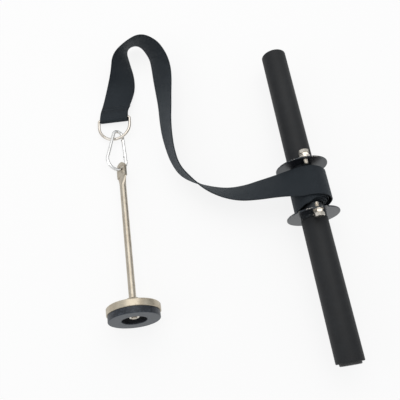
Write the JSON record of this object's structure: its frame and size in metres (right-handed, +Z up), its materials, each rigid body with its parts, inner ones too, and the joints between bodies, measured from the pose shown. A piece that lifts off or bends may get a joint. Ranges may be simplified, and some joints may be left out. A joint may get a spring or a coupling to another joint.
{
  "type": "wrist roller",
  "caption": "Wrist roller: a gripped tube with flanged spool, wound webbing strap, D-ring, carabiner and a loading pin with a round rubber-footed base.",
  "frame": {"origin": "middle of the whole layout's outline, on the surface that it lies on", "axes": "+Y along the roller's tube towards its left grip, +Z up from the surface, +X from the loading pin to the roller"},
  "size_m": [0.3417, 0.5642, 0.076],
  "materials": {
    "tube_steel": "black paint, semi-gloss",
    "grip_rubber": "smooth matt rubber",
    "plug_plastic": "matt",
    "flange_steel": "black coating, semi-gloss",
    "fastener_steel": "zinc plated, satin",
    "webbing": "woven polyester, black with a blue sheen",
    "ring_steel": "nickel plated, bright",
    "clip_steel": "zinc plated, bright",
    "pin_steel": "nickel plated, satin, warm tone",
    "foot_rubber": "matt"
  },
  "bodies": {
    "strap": {"strap_winding_core": "webbing", "strap_outer_turn": "webbing", "strap_free": "webbing", "strap_end_loop": "webbing"},
    "handle": {"core_tube": "tube_steel", "left_grip": "grip_rubber", "right_grip": "grip_rubber", "left_end_plug": "plug_plastic", "right_end_plug": "plug_plastic", "left_flange": "flange_steel", "right_flange": "flange_steel", "left_flange_hub": "flange_steel", "right_flange_hub": "flange_steel", "flange_screws": "fastener_steel", "flange_jam_nuts": "fastener_steel", "flange_washers": "fastener_steel", "strap_anchor_screw": "fastener_steel", "strap_anchor_washer": "fastener_steel"},
    "d_ring": {"d_ring": "ring_steel"},
    "carabiner": {"carabiner_body": "clip_steel"},
    "gate": {"carabiner_gate": "clip_steel", "gate_rivet": "clip_steel", "gate_spring": "clip_steel"},
    "loading_pin": {"loading_rod": "pin_steel", "base_disc": "pin_steel", "rubber_ring": "foot_rubber", "base_washer": "pin_steel", "base_nut": "pin_steel"}
  },
  "joints": [
    {"name": "roller_spin", "type": "hinge", "parent": "strap", "child": "handle", "pos_m": [0.1331, -0.0388, 0.038], "axis": [0, 1, 0], "continuous": true},
    {"name": "d_ring_swing", "type": "hinge", "parent": "strap", "child": "d_ring", "pos_m": [-0.1358, 0.1426, 0.0089], "axis": [-0.9858, 0.0603, -0.1564], "range_deg": [-100, 100]},
    {"name": "carabiner_swing", "type": "hinge", "parent": "d_ring", "child": "carabiner", "pos_m": [-0.13317, 0.10629, 0.009], "axis": [-0.9788, -0.1313, -0.157], "range_deg": [-40, 60]},
    {"name": "gate_hinge", "type": "hinge", "parent": "carabiner", "child": "gate", "pos_m": [-0.12617, 0.10731, 0.00387], "axis": [-0.5915, 0.0048, -0.8063], "range_deg": [0, 24], "stiffness_Nm_per_rad": 0.15, "springref_deg": -17.19},
    {"name": "pin_swing", "type": "hinge", "parent": "carabiner", "child": "loading_pin", "pos_m": [-0.13271, 0.05177, 0.00834], "axis": [0.7339, 0.4173, -0.5359], "range_deg": [-65, 65]}
  ]
}
